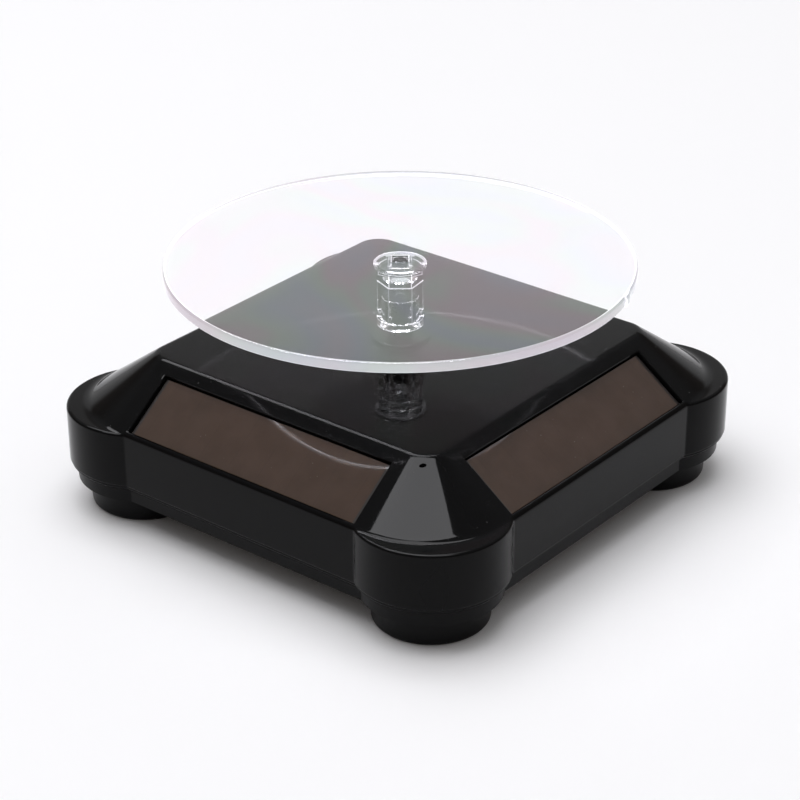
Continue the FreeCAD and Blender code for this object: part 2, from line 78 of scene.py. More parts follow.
# ---- Node wiring ----
class Wiring:
    """Adds nodes to one node tree and joins them."""

    def __init__(self, tree: bpy.types.NodeTree) -> None:
        """Takes the tree that nodes are added to."""
        self.tree = tree

    def add(self, kind: str, inputs: dict | None = None, **settings: object) -> bpy.types.Node:
        """Adds a node.

        Args:
            kind: the node's type name.
            inputs: values or sockets by input name or number.
            settings: the node's own properties.

        Returns:
            The new node.
        """
        node = self.tree.nodes.new(kind)
        for key, value in settings.items():
            setattr(node, key, value)
        for key, value in (inputs or {}).items():
            if isinstance(value, bpy.types.NodeSocket):
                self.tree.links.new(value, node.inputs[key])
            else:
                node.inputs[key].default_value = value
        return node

    def math(self, operation: str, a: object, b: object = 0.0, clamp: bool = False) -> bpy.types.NodeSocket:
        """Adds a Math node and returns its result."""
        return self.add("ShaderNodeMath", {0: a, 1: b}, operation=operation, use_clamp=clamp).outputs[0]

    def scaled(self, value: bpy.types.NodeSocket, low: object, high: object) -> bpy.types.NodeSocket:
        """Spreads a value from 0 to 1 between two numbers and returns the result."""
        inputs = {"Value": value, "To Min": low, "To Max": high}
        return self.add("ShaderNodeMapRange", inputs).outputs["Result"]

    def noise(
        self, place: bpy.types.NodeSocket, scale: object, detail: float, **more: float
    ) -> bpy.types.NodeSocket:
        """Adds a Noise Texture and returns its value."""
        inputs = {"Vector": place, "Scale": scale, "Detail": detail} | more
        return self.add("ShaderNodeTexNoise", inputs).outputs[0]

    def cells(self, place: bpy.types.NodeSocket, scale: object) -> bpy.types.NodeSocket:
        """Adds a Voronoi Texture and returns the distance to its nearest point."""
        inputs = {"Vector": place, "Scale": scale, "Randomness": 1.0}
        return self.add("ShaderNodeTexVoronoi", inputs).outputs["Distance"]

    def product(self, a: object, b: object) -> bpy.types.NodeSocket:
        """Multiplies two values and returns the result."""
        return self.math("MULTIPLY", a, b)

    def bump(
        self, height: bpy.types.NodeSocket, strength: float, depth: float, **more: object
    ) -> bpy.types.NodeSocket:
        """Adds a Bump node of a depth in metres and returns its normal."""
        inputs = {"Strength": strength, "Distance": depth, "Height": height} | more
        return self.add("ShaderNodeBump", inputs).outputs[0]

    def step(self, value: bpy.types.NodeSocket, start: float, end: float) -> bpy.types.NodeSocket:
        """Returns 0 below start and 1 above end, with a smooth ramp between."""
        inputs = {"Value": value, "From Min": start, "From Max": end}
        return self.add("ShaderNodeMapRange", inputs, interpolation_type="SMOOTHSTEP").outputs["Result"]

    def mixed(self, amount: object, a: object, b: object) -> bpy.types.NodeSocket:
        """Mixes two colours and returns the result."""
        node = self.add("ShaderNodeMix", data_type="RGBA")
        for socket, value in zip((node.inputs[0], node.inputs[6], node.inputs[7]), (amount, a, b)):
            if isinstance(value, bpy.types.NodeSocket):
                self.tree.links.new(value, socket)
            else:
                socket.default_value = value
        return node.outputs[2]

    def join(self, source: bpy.types.NodeSocket, target: bpy.types.NodeSocket) -> None:
        """Links one socket to another."""
        self.tree.links.new(source, target)


def shader_group(
    name: str, inputs: dict[str, tuple[str, object]], outputs: dict[str, str]
) -> tuple[bpy.types.NodeTree, Wiring, bpy.types.NodeOutputs, bpy.types.NodeInputs]:
    """Starts a shader node group with named sockets.

    Args:
        name: the group's name.
        inputs: socket type and default value by name.
        outputs: socket type by name.

    Returns:
        The group, its wiring, and the sockets that its inputs give and its outputs take.
    """
    tree = bpy.data.node_groups.new(name, "ShaderNodeTree")
    for label, (kind, default) in inputs.items():
        socket = tree.interface.new_socket(label, in_out="INPUT", socket_type=kind)
        socket.default_value = default
    for label, kind in outputs.items():
        tree.interface.new_socket(label, in_out="OUTPUT", socket_type=kind)
    wiring = Wiring(tree)
    source, sink = wiring.add("NodeGroupInput"), wiring.add("NodeGroupOutput")
    return tree, wiring, source.outputs, sink.inputs


class Effects:
    """The effects that several finishes share, each a node group; a mask rises from 0 to 1 over its band."""

    RUB_BAND, RUB_SHARE = (0.60, 0.66), 0.35
    SMUDGE_BAND = (0.42, 0.72)
    COARSE_SHARE = 0.6
    BROAD_SCALE = 90.0
    TURNED_BAND = (0.35, 0.7)
    UPWARD_BAND = (0.35, 0.9)
    SPECK_REACH, SPECK_EDGE = 0.085, 0.03
    PATCH_SCALE, PATCH_BAND = 130.0, (0.5, 0.75)

    def __init__(self) -> None:
        """Builds every group once."""
        self.wear = self._handling()
        self.grain = self._grain()
        self.brush = self._brush()
        self.dust = self._dust()

    def _handling(self) -> bpy.types.NodeTree:
        """Fine rub marks and faint smudges; Object coordinates in metres.

        Returns:
            The group, which gives a mask for roughness and a height.
        """
        tree, w, given, out = shader_group(
            "rubs_and_smudges",
            {"Position": (VECTOR, ORIGIN), "Rub Size": (FLOAT, 1.0), "Smudge Size": (FLOAT, 1.0)},
            {"Mask": FLOAT, "Height": FLOAT},
        )
        stretch = {"Vector": given["Position"], "Rotation": (0.3, 0.2, 0.6), "Scale": (1, 14, 5)}
        turned = w.add("ShaderNodeMapping", stretch).outputs[0]
        lines = w.step(w.noise(turned, given["Rub Size"], 4.0), *self.RUB_BAND)
        soft = w.step(w.noise(given["Position"], given["Smudge Size"], 3.0), *self.SMUDGE_BAND)
        both = w.math("ADD", w.product(lines, self.RUB_SHARE), w.product(soft, 1 - self.RUB_SHARE))
        w.join(both, out["Mask"])
        w.join(w.product(lines, -1.0), out["Height"])
        return tree

    def _grain(self) -> bpy.types.NodeTree:
        """A moulded grain of two sizes.

        Returns:
            The group, which gives a mask and a height.
        """
        tree, w, given, out = shader_group(
            "moulded_grain",
            {"Position": (VECTOR, ORIGIN), "Scale": (FLOAT, 1800.0)},
            {"Mask": FLOAT, "Height": FLOAT},
        )
        coarse = w.product(w.cells(given["Position"], given["Scale"]), self.COARSE_SHARE)
        fine = w.product(w.noise(given["Position"], given["Scale"], 5.0), 1 - self.COARSE_SHARE)
        w.join(w.math("ADD", coarse, fine), out["Height"])
        w.join(w.noise(given["Position"], self.BROAD_SCALE, 2.0), out["Mask"])
        return tree

    def _brush(self) -> bpy.types.NodeTree:
        """Turning lines round the Z axis.

        Returns:
            The group, which gives a mask and a height.
        """
        tree, w, given, out = shader_group(
            "turned_lines",
            {"Position": (VECTOR, ORIGIN), "Scale": (FLOAT, 900.0)},
            {"Mask": FLOAT, "Height": FLOAT},
        )
        flat = w.add("ShaderNodeMapping", {"Vector": given["Position"], "Scale": (0.04, 0.04, 1.0)})
        lines = w.noise(flat.outputs[0], given["Scale"], 4.0)
        w.join(lines, out["Height"])
        w.join(w.step(lines, *self.TURNED_BAND), out["Mask"])
        return tree

    def _dust(self) -> bpy.types.NodeTree:
        """Sparse specks that lie on faces that look up.

        Returns:
            The group, which gives a mask.
        """
        tree, w, given, out = shader_group(
            "settled_dust",
            {"Position": (VECTOR, ORIGIN), "Scale": (FLOAT, 700.0), "Amount": (FLOAT, 0.2)},
            {"Mask": FLOAT},
        )
        normal = w.add("ShaderNodeNewGeometry").outputs["Normal"]
        up = w.step(w.add("ShaderNodeSeparateXYZ", {0: normal}).outputs[2], *self.UPWARD_BAND)
        distance = w.cells(given["Position"], given["Scale"])
        specks = w.step(w.math("SUBTRACT", self.SPECK_REACH, distance), 0.0, self.SPECK_EDGE)
        thick = w.step(w.noise(given["Position"], self.PATCH_SCALE, 2.0), *self.PATCH_BAND)
        w.join(w.product(w.product(specks, thick), w.product(up, given["Amount"])), out["Mask"])
        return tree


# ---- Finishes ----
RUB_DEPTH, GRAIN_DEPTH, SWIRL_DEPTH = 0.00002, 0.00005, 0.0001


def new_material(name: str) -> tuple[bpy.types.Material, Wiring, bpy.types.Node, bpy.types.NodeSocket]:
    """Starts a node material.

    Args:
        name: the material's name.

    Returns:
        The material, its wiring, its Principled shader and the Object coordinates.
    """
    material = bpy.data.materials.new(name)
    material.use_nodes = True
    material.node_tree.nodes.clear()
    w = Wiring(material.node_tree)
    shader = w.add("ShaderNodeBsdfPrincipled")
    w.add("ShaderNodeOutputMaterial", {"Surface": shader.outputs[0]})
    return material, w, shader, w.add("ShaderNodeTexCoord").outputs["Object"]


def group_node(w: Wiring, tree: bpy.types.NodeTree, **inputs: object) -> bpy.types.Node:
    """Places a shader group; underscores in input names stand for spaces.

    Args:
        w: the wiring of the material.
        tree: the group.
        inputs: values or sockets by input name.

    Returns:
        The group's node.
    """
    named = {key.replace("_", " "): value for key, value in inputs.items()}
    node = w.add("ShaderNodeGroup", node_tree=tree)
    for key, value in named.items():
        if isinstance(value, bpy.types.NodeSocket):
            w.join(value, node.inputs[key])
        else:
            node.inputs[key].default_value = value
    return node


@dataclass(frozen=True)
class SolidFinish:
    """A plastic, rubber or metal: colour, shine, grain, rub marks and dust."""

    name: str
    colour: Colour
    tone: Colour
    rough: tuple[float, float] = (0.3, 0.45)
    grain: Grain = Grain.SATIN
    grain_scale: float = 1800.0
    relief: float = 0.05
    metal: float = 0.0
    specular: float = 0.5
    coat: float = 0.0
    dust: float = 0.0
    dust_colour: Colour = (0.45, 0.45, 0.44, 1)

    def build(self, effects: Effects) -> bpy.types.Material:
        """Makes the material.

        Args:
            effects: the shared node groups.

        Returns:
            The material.
        """
        material, w, shader, place = new_material(self.name)
        wear = group_node(w, effects.wear, Position=place, Rub_Size=160.0, Smudge_Size=55.0)
        base = effects.brush if self.grain is Grain.BRUSHED else effects.grain
        texture = group_node(w, base, Position=place, Scale=self.grain_scale)
        colour = w.mixed(texture.outputs["Mask"], self.colour, self.tone)
        if self.dust > 0:
            specks = group_node(w, effects.dust, Position=place, Amount=self.dust)
            colour = w.mixed(specks.outputs["Mask"], colour, self.dust_colour)
        w.join(colour, shader.inputs["Base Color"])
        w.join(w.scaled(wear.outputs["Mask"], *self.rough), shader.inputs["Roughness"])
        rub = w.bump(wear.outputs["Height"], 0.04, RUB_DEPTH)
        grain = w.bump(texture.outputs["Height"], self.relief, GRAIN_DEPTH, Normal=rub)
        w.join(grain, shader.inputs["Normal"])
        shader.inputs["Metallic"].default_value = self.metal
        shader.inputs["Specular IOR Level"].default_value = self.specular
        shader.inputs["Coat Weight"].default_value = self.coat
        shader.inputs["Coat Roughness"].default_value = 0.05
        return material


@dataclass(frozen=True)
class ClearFinish:
    """Clear polished acrylic with faint moulding swirls; the whole of it emits a faint painted light in the
    swirls' colours, and a brighter painted highlight beyond a radius.
    """

    name: str
    tint: Colour = (0.985, 0.98, 1.0, 1.0)
    ior: float = 1.49
    # Painted light: the share of the swirls' colours that the acrylic emits all over.
    painted_veil_glow: float = 0.034
    # Painted highlight: how bright and in what colour the acrylic emits beyond rim_from, in place of light
    # gathered at the rim.
    painted_rim_glow: float = 0.42
    painted_rim_tint: Colour = (0.95, 0.93, 1.0, 1.0)
    rim_from: float = 0.0461
    rough: tuple[float, float] = (0.0, 0.035)
    swirl_share: float = 0.04
    swirls: tuple[tuple[float, Colour], ...] = (
        (0.30, (0.85, 0.75, 1.0, 1)),
        (0.42, (1.0, 0.62, 0.75, 1)),
        (0.50, (0.70, 1.0, 0.72, 1)),
        (0.58, (0.62, 0.82, 1.0, 1)),
        (0.70, (1.0, 0.78, 0.90, 1)),
    )

    def build(self, effects: Effects) -> bpy.types.Material:
        """Makes the material.

        Args:
            effects: the shared node groups.

        Returns:
            The material.
        """
        material, w, shader, place = new_material(self.name)
        wear = group_node(w, effects.wear, Position=place, Rub_Size=120.0, Smudge_Size=35.0)
        w.join(w.scaled(wear.outputs["Mask"], *self.rough), shader.inputs["Roughness"])
        bend = w.noise(place, 22.0, 1.5, Distortion=1.6)
        ramp = w.add("ShaderNodeValToRGB", {"Fac": bend})
        stops = ramp.color_ramp.elements
        stops[0].position, stops[0].color = self.swirls[0]
        stops[1].position, stops[1].color = self.swirls[-1]
        for position, colour in self.swirls[1:-1]:
            stops.new(position).color = colour
        split = w.add("ShaderNodeSeparateXYZ", {0: place})
        square = w.math("ADD", w.math("POWER", split.outputs[0], 2.0), w.math("POWER", split.outputs[1], 2.0))
        # Painted highlight: faces beyond rim_from emit the rim's light as emission instead of the faint
        # painted light.
        rim = w.step(w.math("SQRT", square), self.rim_from, self.rim_from + 0.1 * MM)
        # Painted light: a faint share of the swirls' colours, emitted all over.
        painted_veil = w.mixed(1.0 - self.painted_veil_glow, ramp.outputs[0], (0, 0, 0, 1))
        painted_rim_light = tuple(self.painted_rim_glow * c for c in self.painted_rim_tint)
        w.join(w.mixed(rim, painted_veil, painted_rim_light), shader.inputs["Emission Color"])
        w.join(w.mixed(self.swirl_share, self.tint, ramp.outputs[0]), shader.inputs["Base Color"])
        w.join(w.bump(bend, 0.02, SWIRL_DEPTH), shader.inputs["Normal"])
        shader.inputs["Emission Strength"].default_value = 1.0
        shader.inputs["IOR"].default_value = self.ior
        shader.inputs["Transmission Weight"].default_value = 1.0
        return material


@dataclass(frozen=True)
class CellFinish:
    """A thin-film cell behind glass, with scribed bands and bare ends; UV units are millimetres."""

    name: str = "solar_cell_glass"
    colour: Colour = (0.044, 0.025, 0.0155, 1)
    tone: Colour = (0.053, 0.031, 0.0205, 1)
    margin: Colour = (0.030, 0.027, 0.025, 1)
    half_length: float = 28.4
    margin_width: float = 0.75
    margin_blur: float = 0.05
    band_width: float = 7.2
    scribe: Colour = (0.022, 0.014, 0.011, 1)
    scribe_share: float = 0.22
    dust: Colour = (0.4, 0.38, 0.36, 1)

    def build(self, effects: Effects) -> bpy.types.Material:
        """Makes the material.

        Args:
            effects: the shared node groups.

        Returns:
            The material.
        """
        material, w, shader, place = new_material(self.name)
        flat = w.add("ShaderNodeUVMap", uv_map="UVMap").outputs[0]
        split = w.add("ShaderNodeSeparateXYZ", {0: flat})
        across = w.math("ABSOLUTE", split.outputs[0])
        edge = self.half_length - self.margin_width
        bare = w.step(across, edge - self.margin_blur, edge + self.margin_blur)
        cloud = w.step(w.noise(flat, 0.16, 3.0), 0.3, 0.7)
        shifted = w.math("ADD", split.outputs[0], 8 * self.band_width)
        band = w.math("FRACT", w.math("DIVIDE", shifted, self.band_width))
        off_line = w.math("ABSOLUTE", w.math("SUBTRACT", band, 0.5))
        line = w.step(w.math("SUBTRACT", 0.013, off_line), 0.0, 0.008)
        colour = w.mixed(cloud, self.colour, self.tone)
        colour = w.mixed(w.product(line, self.scribe_share), colour, self.scribe)
        colour = w.mixed(bare, colour, self.margin)
        specks = group_node(w, effects.dust, Position=place, Amount=0.35)
        w.join(w.mixed(specks.outputs["Mask"], colour, self.dust), shader.inputs["Base Color"])
        wear = group_node(w, effects.wear, Position=place, Rub_Size=140.0, Smudge_Size=60.0)
        w.join(w.scaled(wear.outputs["Mask"], 0.02, 0.09), shader.inputs["Roughness"])
        w.join(w.bump(wear.outputs["Height"], 0.03, RUB_DEPTH), shader.inputs["Normal"])
        shader.inputs["Specular IOR Level"].default_value = 0.5
        return material


@dataclass(frozen=True)
class FloorFinish:
    """A plain pale table."""

    name: str = "pale_floor"
    colour: Colour = (0.93, 0.93, 0.93, 1)
    tone: Colour = (0.95, 0.95, 0.95, 1)

    def build(self) -> bpy.types.Material:
        """Makes the material and returns it."""
        material, w, shader, place = new_material(self.name)
        w.join(w.mixed(w.noise(place, 3.0, 2.0), self.colour, self.tone), shader.inputs["Base Color"])
        shader.inputs["Roughness"].default_value = 0.8
        shader.inputs["Specular IOR Level"].default_value = 0.2
        return material


class Palette:
    """Every finish of the object, by name, and the finish of each material slot of the record."""

    def __init__(self, effects: Effects) -> None:
        """Builds the materials.

        Args:
            effects: the shared node groups.
        """
        made = [
            SolidFinish(
                "gloss_black_moulding", (0.0022, 0.0022, 0.0023, 1), (0.0032, 0.0032, 0.0034, 1),
                rough=(0.05, 0.11), grain=Grain.POLISHED, grain_scale=260.0,
                relief=0.004, specular=0.095, dust=0.25,
            ),
            SolidFinish(
                "satin_black_moulding", (0.0022, 0.0022, 0.0026, 1), (0.0034, 0.0034, 0.0036, 1),
                rough=(0.28, 0.42), grain_scale=2300.0, relief=0.2, specular=0.1,
            ),
            SolidFinish(
                "foot_rubber", (0.0025, 0.0025, 0.0028, 1), (0.004, 0.004, 0.0044, 1),
                rough=(0.3, 0.45), grain_scale=2600.0, relief=0.25, specular=0.12,
            ),
            SolidFinish(
                "black_acetal", (0.0022, 0.0022, 0.0022, 1), (0.0034, 0.0034, 0.0034, 1),
                rough=(0.2, 0.34), grain_scale=1600.0, relief=0.08, specular=0.15,
            ),
            SolidFinish(
                "white_gear_plastic", (0.72, 0.71, 0.66, 1), (0.78, 0.77, 0.73, 1),
                rough=(0.3, 0.45), grain_scale=1500.0, relief=0.08,
            ),
            SolidFinish(
                "plated_screw", (0.55, 0.55, 0.53, 1), (0.68, 0.68, 0.66, 1),
                rough=(0.22, 0.4), grain=Grain.BRUSHED, grain_scale=1400.0, relief=0.1, metal=1.0,
            ),
            SolidFinish(
                "polished_pin", (0.62, 0.62, 0.62, 1), (0.72, 0.72, 0.72, 1),
                rough=(0.12, 0.25), grain=Grain.BRUSHED, relief=0.06, metal=1.0,
            ),
            SolidFinish(
                "motor_can_steel", (0.50, 0.50, 0.48, 1), (0.62, 0.62, 0.60, 1),
                rough=(0.25, 0.42), grain=Grain.BRUSHED, grain_scale=900.0, relief=0.1, metal=1.0,
            ),
            SolidFinish(
                "brass_bush", (0.66, 0.46, 0.18, 1), (0.75, 0.56, 0.26, 1),
                rough=(0.2, 0.36), grain=Grain.BRUSHED, grain_scale=1100.0, relief=0.1, metal=1.0,
            ),
            SolidFinish(
                "ferrite", (0.03, 0.03, 0.03, 1), (0.05, 0.05, 0.05, 1),
                rough=(0.5, 0.7), grain_scale=1200.0, relief=0.3,
            ),
            SolidFinish(
                "copper_armature", (0.45, 0.18, 0.08, 1), (0.58, 0.26, 0.12, 1),
                rough=(0.25, 0.4), grain=Grain.BRUSHED, grain_scale=2400.0, relief=0.3, metal=0.8,
            ),
            SolidFinish(
                "spring_contact", (0.64, 0.63, 0.60, 1), (0.72, 0.71, 0.68, 1),
                rough=(0.15, 0.3), grain=Grain.BRUSHED, grain_scale=1500.0, relief=0.08, metal=1.0,
            ),
            SolidFinish(
                "cell_jacket", (0.010, 0.022, 0.07, 1), (0.014, 0.030, 0.09, 1),
                rough=(0.18, 0.3), grain=Grain.POLISHED, grain_scale=500.0, relief=0.03, coat=0.4,
            ),
            SolidFinish(
                "switch_grey", (0.30, 0.30, 0.30, 1), (0.36, 0.36, 0.36, 1),
                rough=(0.35, 0.5), grain_scale=2000.0, relief=0.15,
            ),
            SolidFinish(
                "board_green", (0.01, 0.09, 0.03, 1), (0.015, 0.12, 0.04, 1),
                rough=(0.2, 0.35), grain_scale=1300.0, relief=0.08,
            ),
            SolidFinish(
                "solder", (0.62, 0.62, 0.62, 1), (0.7, 0.7, 0.7, 1),
                rough=(0.2, 0.4), grain=Grain.POLISHED, relief=0.2, metal=1.0,
            ),
        ]
        self.by_slot: dict[str, bpy.types.Material] = {f.name: f.build(effects) for f in made}
        self.by_slot["solar_cell"] = CellFinish().build(effects)
        self.by_slot["clear_acrylic"] = ClearFinish("clear_acrylic").build(effects)
        plain = ClearFinish("clear_acrylic_post", painted_veil_glow=0.0, painted_rim_glow=0.0, rough=(0.0, 0.02))
        self.clear_post = plain.build(effects)
        # Two copies of the post's finish that emit all over, as painted highlights for narrow faces where
        # real edges would catch light: a soft one and a bright one.
        painted_soft_highlight = replace(plain, name="clear_acrylic_soft_edge", painted_rim_glow=0.16, rim_from=0.0)
        self.painted_soft_highlight = painted_soft_highlight.build(effects)
        self.painted_edge_highlight = replace(painted_soft_highlight, name="clear_acrylic_edge", painted_rim_glow=0.75).build(effects)

    def dress_frame(self) -> None:
        """Gives every node of the frame the finish of its slot."""
        for part in frame["record"]["subparts"]:
            node = frame["nodes"][part["node"]]
            node.data.materials.clear()
            node.data.materials.append(self.by_slot[part["material_slot"]])


# ---- Meshes ----
def mesh_piece(
    name: str, points: np.ndarray, faces: Sequence[Sequence[int]], angle: float = 32.0
) -> bpy.types.Object:
    """Makes an object from points in millimetres, with smooth shading between faces that meet gently.

    Args:
        name: the piece's name.
        points: one row per vertex.
        faces: vertex numbers, anticlockwise from outside.
        angle: the widest angle in degrees that is shaded smooth.

    Returns:
        The object, at the origin.
    """
    mesh = bpy.data.meshes.new(name)
    mesh.from_pydata((np.asarray(points, float) * MM).tolist(), [], [list(f) for f in faces])
    mesh.validate()
    mesh.shade_smooth()
    mesh.set_sharp_from_angle(angle=math.radians(angle))
    piece = bpy.data.objects.new(name, mesh)
    bpy.context.scene.collection.objects.link(piece)
    return piece


def skin_rings(rings: Sequence[np.ndarray], closed: bool = False) -> tuple[np.ndarray, list[list[int]]]:
    """Joins rings of equal length with four-sided faces; on an outside, rings go anticlockwise and upwards.

    Args:
        rings: arrays of points, one row per station.
        closed: joins the last ring to the first; otherwise each end is closed with a fan to its middle.

    Returns:
        The points and the faces.
    """
    count, total = len(rings[0]), len(rings)
    points = np.vstack(rings)
    faces = []
    for r in range(total if closed else total - 1):
        low, high = r * count, ((r + 1) % total) * count
        for i in range(count):
            j = (i + 1) % count
            faces.append([low + i, low + j, high + j, high + i])
    if not closed:
        first, last = len(points), len(points) + 1
        points = np.vstack([points, rings[0].mean(0), rings[-1].mean(0)])
        top = (total - 1) * count
        for i in range(count):
            j = (i + 1) % count
            faces.append([first, j, i])
            faces.append([last, top + i, top + j])
    return points, faces


def full_turn(steps: int, start: float = 0.0) -> np.ndarray:
    """Even headings round a full turn."""
    return start + np.linspace(0, 2 * math.pi, steps, endpoint=False)


def polar_ring(radius: RadiusAt, z: float, angles: np.ndarray) -> np.ndarray:
    """Points at a radius that may depend on the heading, all at one height."""
    r = radius(angles)
    return np.stack([r * np.cos(angles), r * np.sin(angles), np.full_like(angles, z)], 1)


def bore_hole(
    piece: bpy.types.Object, place: tuple[float, float], radius: float, low: float, high: float, angle: float
) -> None:
    """Bores an upright oval hole in a piece, half as long along the line from the axis as across it.

    Args:
        piece: the piece.
        place: the hole's middle in plan.
        radius: half of the hole's greater width.
        low: where the hole stops.
        high: where it starts.
        angle: the widest angle in degrees that is shaded smooth.
    """
    angles = full_turn(24)
    out = np.array([*place, 0.0]) / math.hypot(*place)
    rings = []
    for z in (low, high):
        ring = polar_ring(round_radius(radius), 0.0, angles)
        rings.append(ring - 0.5 * np.outer(ring @ out, out) + np.array([*place, z]))
    drill = mesh_piece("drill", *skin_rings(rings))
    modifier = piece.modifiers.new("hole", "BOOLEAN")
    modifier.operation, modifier.solver, modifier.object = "DIFFERENCE", "EXACT", drill
    bpy.context.view_layer.update()
    mesh = bpy.data.meshes.new_from_object(piece.evaluated_get(bpy.context.evaluated_depsgraph_get()))
    piece.modifiers.clear()
    mesh.name = piece.data.name
    mesh.shade_smooth()
    mesh.set_sharp_from_angle(angle=math.radians(angle))
    piece.data = mesh
    bpy.data.objects.remove(drill)


def round_radius(radius: float) -> RadiusAt:
    """A circle's radius at every heading."""
    return lambda angles: np.full_like(angles, radius)


def polygon_radius(sides: int, corner: float, turn: float) -> RadiusAt:
    """A polygon's radius at each heading, with one corner at the turn given in radians."""
    step = 2 * math.pi / sides
    tiny = 1e-9

    def radius(angles: np.ndarray) -> np.ndarray:
        """Returns the distance to the side that each heading meets."""
        off = np.mod(angles - turn + tiny, step) - tiny - step / 2
        return corner * math.cos(step / 2) / np.cos(off)

    return radius


def geometry_tree(
    name: str, inputs: dict[str, tuple[str, object]]
) -> tuple[bpy.types.NodeTree, Wiring, bpy.types.NodeOutputs]:
    """Starts a Geometry Nodes tree with named inputs.

    Args:
        name: the tree's name.
        inputs: socket type and default value by name.

    Returns:
        The tree, its wiring and the sockets that its inputs give.
    """
    tree = bpy.data.node_groups.new(name, "GeometryNodeTree")
    for label, (kind, default) in inputs.items():
        socket = tree.interface.new_socket(label, in_out="INPUT", socket_type=kind)
        if default is not None:
            socket.default_value = default
    tree.interface.new_socket("Geometry", in_out="OUTPUT", socket_type="NodeSocketGeometry")
    w = Wiring(tree)
    return tree, w, w.add("NodeGroupInput").outputs


def placed_copies(
    w: Wiring, given: bpy.types.NodeOutputs, points: bpy.types.NodeSocket, turn: object
) -> None:
    """Ends a tree: copies the item to points, makes the copies real and gives them their material.

    Args:
        w: the tree's wiring.
        given: the tree's input sockets, with Item and Finish among them.
        points: where the copies go.
        turn: each copy's rotation.
    """
    item = w.add("GeometryNodeObjectInfo", {"Object": given["Item"]}).outputs["Geometry"]
    copies = w.add("GeometryNodeInstanceOnPoints", {"Points": points, "Instance": item, "Rotation": turn})
    real = w.add("GeometryNodeRealizeInstances", {"Geometry": copies.outputs[0]})
    dressed = w.add("GeometryNodeSetMaterial", {"Geometry": real.outputs[0], "Material": given["Finish"]})
    w.add("NodeGroupOutput", {"Geometry": dressed.outputs[0]})


def corner_tree() -> bpy.types.NodeTree:
    """A tree that copies an item to the four corners of a rectangle."""
    tree, w, given = geometry_tree(
        "copies_at_corners",
        {
            "Item": ("NodeSocketObject", None),
            "Finish": ("NodeSocketMaterial", None),
            "Reach": (FLOAT, 0.0),
        },
    )
    width = w.product(given["Reach"], 2.0)
    grid = w.add("GeometryNodeMeshGrid", {"Size X": width, "Size Y": width, "Vertices X": 2, "Vertices Y": 2})
    placed_copies(w, given, grid.outputs["Mesh"], (0.0, 0.0, 0.0))
    return tree


def turning_tree() -> bpy.types.NodeTree:
    """A tree that copies an item round the Z axis."""
    tree, w, given = geometry_tree(
        "copies_round_axis",
        {
            "Item": ("NodeSocketObject", None),
            "Finish": ("NodeSocketMaterial", None),
            "Count": ("NodeSocketInt", 4),
        },
    )
    points = w.add("GeometryNodePoints", {"Count": given["Count"]})
    share = w.math("DIVIDE", w.add("GeometryNodeInputIndex").outputs[0], given["Count"])
    turn = w.add("ShaderNodeCombineXYZ", {2: w.product(share, 2 * math.pi)})
    placed_copies(w, given, points.outputs[0], turn.outputs[0])
    return tree


def grown(name: str, tree: bpy.types.NodeTree, values: dict[str, object]) -> bpy.types.Object:
    """Runs a Geometry Nodes tree once and keeps its result as a plain mesh.

    Args:
        name: the piece's name.
        tree: the tree.
        values: the inputs by name. An object among them is removed afterwards.

    Returns:
        The piece, at the origin, with no modifier.
    """
    host = bpy.data.objects.new(name + "_host", bpy.data.meshes.new(name + "_host"))
    bpy.context.scene.collection.objects.link(host)
    modifier = host.modifiers.new("copies", "NODES")
    modifier.node_group = tree
    sockets = {s.name: s.identifier for s in tree.interface.items_tree if s.in_out == "INPUT"}
    for key, value in values.items():
        modifier[sockets[key]] = value
    bpy.context.view_layer.update()
    mesh = bpy.data.meshes.new_from_object(host.evaluated_get(bpy.context.evaluated_depsgraph_get()))
    mesh.name = name
    piece = bpy.data.objects.new(name, mesh)
    bpy.context.scene.collection.objects.link(piece)
    for used in [host] + [v for v in values.values() if isinstance(v, bpy.types.Object)]:
        bpy.data.objects.remove(used)
    return piece


def even_shading(piece: bpy.types.Object) -> None:
    """Lets the large faces set the normals that they share with narrow rounded edges."""
    modifier = piece.modifiers.new("even_shading", "WEIGHTED_NORMAL")
    modifier.mode = "FACE_AREA_WITH_ANGLE"
    modifier.weight = 100
    modifier.keep_sharp = True


def settle(piece: bpy.types.Object, body: str, nodes: Sequence[str]) -> None:
    """Tells the frame what a piece rides on and the nodes that it stands for.

    Args:
        piece: the finished piece.
        body: the body that it moves with.
        nodes: the frame's nodes that it replaces.
    """
    even_shading(piece)
    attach(piece, body)
    if nodes:
        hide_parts(*nodes)
    LOG.info("%s rides on %s, %d faces", piece.name, body, len(piece.data.polygons))


